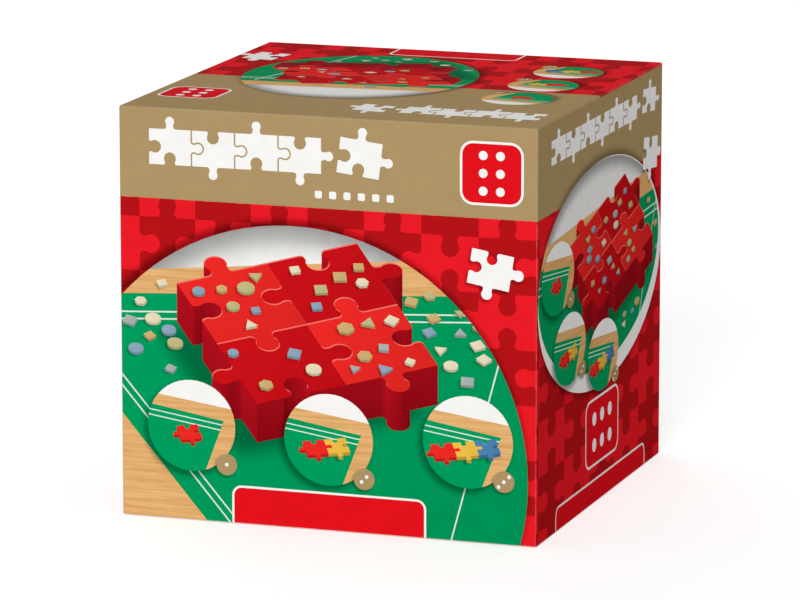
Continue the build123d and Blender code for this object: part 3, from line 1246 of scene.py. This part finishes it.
greyboard = rawPaper("millboardGrey")
stayPaper = rawPaper("kraftStayPaper")
plainWrap = rawPaper("uncoatedTanWrap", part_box("base_cover")[1])
finishes = {  # by the last word of a node's name: the material and its slot's name
    "board": (greyboard, "greyboard"),
    "wall": (greyboard, "greyboard"),
    "stays": (stayPaper, "stay_paper"),
    "cover": (plainWrap, "plain_cover"),
    "sheet": (plainWrap, "plain_cover"),
}
for name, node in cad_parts.items():
    kind = name.split("_")[-1]
    if kind in finishes and name != "lid_cover":
        material, slotName = finishes[kind]
        node.data.materials.clear()
        node.data.materials.append(material)
print("board and paper: done")


# Studio

studio = {
    "floorColour": "#DADADA",
    "floorHalf": 30.0,      # metres
    "floorLift": 0.57,      # white that only the camera and reflections see
    "worldColour": "#FFFFFF",
    "worldLight": 0.38,
    "key": {"direction": (0.085, -0.55, 0.21), "strength": 1.0, "soft": 25},
    "fill": {"direction": (-0.25, 0.25, 0.06), "strength": 1.0, "soft": 60},
}


def seenDirectly(owner):
    # 1 where the camera, a reflection or clear glass looks, 0 for the light that falls on the object
    path = addNode(owner, "ShaderNodeLightPath")
    seen = path.outputs["Is Camera Ray"]
    for ray in ("Is Glossy Ray", "Is Transmission Ray"):
        seen = addNode(owner, "ShaderNodeMath", {0: seen, 1: path.outputs[ray]}, operation="MAXIMUM")
    return seen


def makeFloor():
    # a matt paper sweep: it takes the soft shadow, and glows where it is looked at, so that it shows white
    mesh = bpy.data.meshes.new("floor")
    half = studio["floorHalf"]
    mesh.from_pydata([(x, y, 0) for x, y in box((-half, -half), (half, half))], [], [(0, 1, 2, 3)])
    material, shader = newMaterial("mattPaperSweep", 0.9, specular=0.1)
    glow = addNode(material, "ShaderNodeMath", {0: seenDirectly(material), 1: studio["floorLift"]},
                   operation="MULTIPLY")
    feed(material, shader, {"Base Color": linear(studio["floorColour"]), "Emission Color": (1, 1, 1, 1),
                            "Emission Strength": glow})
    mesh.materials.append(material)
    plane = bpy.data.objects.new("floor", mesh)
    bpy.context.scene.collection.objects.link(plane)


def makeWorld():
    world = bpy.data.worlds.new("studioAir")
    world.use_nodes = True
    bpy.context.scene.world = world
    light, output = (world.node_tree.nodes[name] for name in ("Background", "World Output"))
    feed(world, light, {"Color": linear(studio["worldColour"]), "Strength": studio["worldLight"]})
    white = addNode(world, "ShaderNodeBackground", {"Color": (1, 1, 1, 1)})
    mixed = addNode(world, "ShaderNodeMixShader", {0: seenDirectly(world), 1: light, 2: white})
    feed(world, output, {"Surface": mixed})


def makeSun(name, direction, strength, soft):
    sun = bpy.data.lights.new(name, "SUN")
    reach = Vector(direction)
    sun.energy = pi * reach.length * strength  # so that the direction's parts are the light on each face
    sun.angle = radians(soft)
    lamp = bpy.data.objects.new(name, sun)
    lamp.rotation_mode = "QUATERNION"
    lamp.rotation_quaternion = reach.to_track_quat("Z", "Y")
    bpy.context.scene.collection.objects.link(lamp)


lens = {
    "azimuth": 18.7257,       # degrees to the right of straight on
    "elevation": 11.4715,
    "focal": 248.35,          # mm
    "sensor": 36.0,           # mm
    "distance": 13.5239,      # times the height of the box
    "across": -0.0069,        # how far the picture's middle lies from the box's, in the same measure
    "up": 0.0375,
    "farthest": 100.0,        # metres
}


def makeCamera():
    height = cadHigh.z - cadLow.z
    turn, rise = radians(lens["azimuth"]), radians(lens["elevation"])
    back = Vector((sin(turn) * cos(rise), -cos(turn) * cos(rise), sin(rise)))
    camera = bpy.data.cameras.new("camera")
    camera.lens = lens["focal"]
    camera.sensor_width = lens["sensor"]
    camera.clip_end = lens["farthest"]
    eye = bpy.data.objects.new("camera", camera)
    facing = (-back).to_track_quat("-Z", "Y")
    right, up = facing @ Vector((1, 0, 0)), facing @ Vector((0, 1, 0))
    middle = Vector((0, 0, cadLow.z + height / 2))
    eye.location = middle + (back * lens["distance"] - right * lens["across"] - up * lens["up"]) * height
    eye.rotation_mode = "QUATERNION"
    eye.rotation_quaternion = facing
    bpy.context.scene.collection.objects.link(eye)
    bpy.context.scene.camera = eye


makeFloor()
makeWorld()
for name in ("key", "fill"):
    makeSun(name, **studio[name])
makeCamera()
bpy.context.scene.view_settings.view_transform = "Standard"
print("studio: done")
